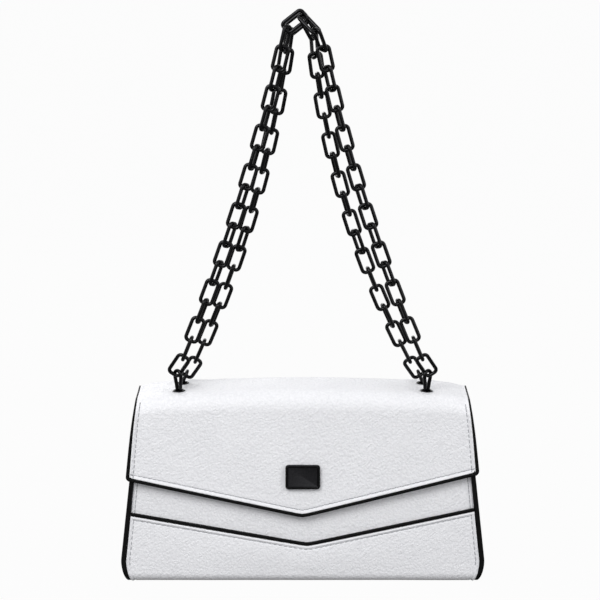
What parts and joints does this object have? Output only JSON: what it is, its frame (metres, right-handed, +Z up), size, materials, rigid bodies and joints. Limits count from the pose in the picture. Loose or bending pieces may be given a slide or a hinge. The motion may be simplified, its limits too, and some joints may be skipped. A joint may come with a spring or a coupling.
{
  "type": "flap shoulder bag with chain strap",
  "caption": "Structured leather shoulder bag with a pointed fold-over flap, bound edges, a magnetic clasp and a double chain strap on eyelets in the flap.",
  "frame": {"origin": "centre of the flat base, on the ground", "axes": "+X to the right when facing the flap, +Y towards the back, +Z up"},
  "size_m": [0.2802, 0.082, 0.4368],
  "materials": {
    "white_leather": "pebble grain, semi-matte",
    "black_binding": "smooth, folded and sewn",
    "gunmetal": "polished dark plating",
    "lining_cloth": "woven",
    "stiffener_board": "fibre board",
    "zip_tape_cloth": "woven tape",
    "clasp_steel": "plated"
  },
  "bodies": {
    "bag_body": {"outer_wrap": "white_leather", "wrap_edge_binding": "black_binding", "front_panel": "white_leather", "mouth_binding": "black_binding", "back_board": "stiffener_board", "base_board": "stiffener_board", "lining": "lining_cloth", "side_binding_left": "black_binding", "side_binding_right": "black_binding", "gusset_left": "white_leather", "gusset_right": "white_leather", "clasp_plate_front": "clasp_steel", "zip_welt": "white_leather", "zip_tape": "zip_tape_cloth", "zip_teeth": "gunmetal", "zip_stop_left": "gunmetal", "zip_stop_right": "gunmetal"},
    "flap": {"flap_leather": "white_leather", "flap_lining": "lining_cloth", "flap_binding": "black_binding", "plaque": "gunmetal", "clasp_plate_flap": "clasp_steel", "eyelet_front_left": "gunmetal", "eyelet_front_right": "gunmetal", "eyelet_rear_left": "gunmetal", "eyelet_rear_right": "gunmetal", "washer_front_left": "gunmetal", "washer_front_right": "gunmetal", "washer_rear_left": "gunmetal", "washer_rear_right": "gunmetal", "end_link_front_left": "gunmetal", "end_link_front_right": "gunmetal", "end_link_rear_left": "gunmetal", "end_link_rear_right": "gunmetal"},
    "front_strap": {"front_chain": "gunmetal"},
    "rear_strap": {"rear_chain": "gunmetal"},
    "slider": {"zip_slider": "gunmetal"},
    "pull": {"zip_pull": "gunmetal"}
  },
  "joints": [
    {"name": "flap_hinge", "type": "hinge", "parent": "bag_body", "child": "flap", "pos_m": [0, 0.03077, 0.132], "axis": [-1, 0, 0], "range_deg": [0, 110]},
    {"name": "front_chain_swing", "type": "hinge", "parent": "flap", "child": "front_strap", "pos_m": [0, -0.01836, 0.15815], "axis": [1, 0, 0], "range_deg": [0, 95]},
    {"name": "rear_chain_swing", "type": "hinge", "parent": "flap", "child": "rear_strap", "pos_m": [0, 0.00714, 0.15347], "axis": [1, 0, 0], "range_deg": [-62, 0]},
    {"name": "zip_slide", "type": "slide", "parent": "bag_body", "child": "slider", "axis": [1, 0, 0], "range_m": [0, 0.096]},
    {"name": "zip_pull_swing", "type": "hinge", "parent": "slider", "child": "pull", "pos_m": [-0.048, 0.02105, 0.09755], "axis": [-1, 0, 0], "range_deg": [0, 90]}
  ]
}
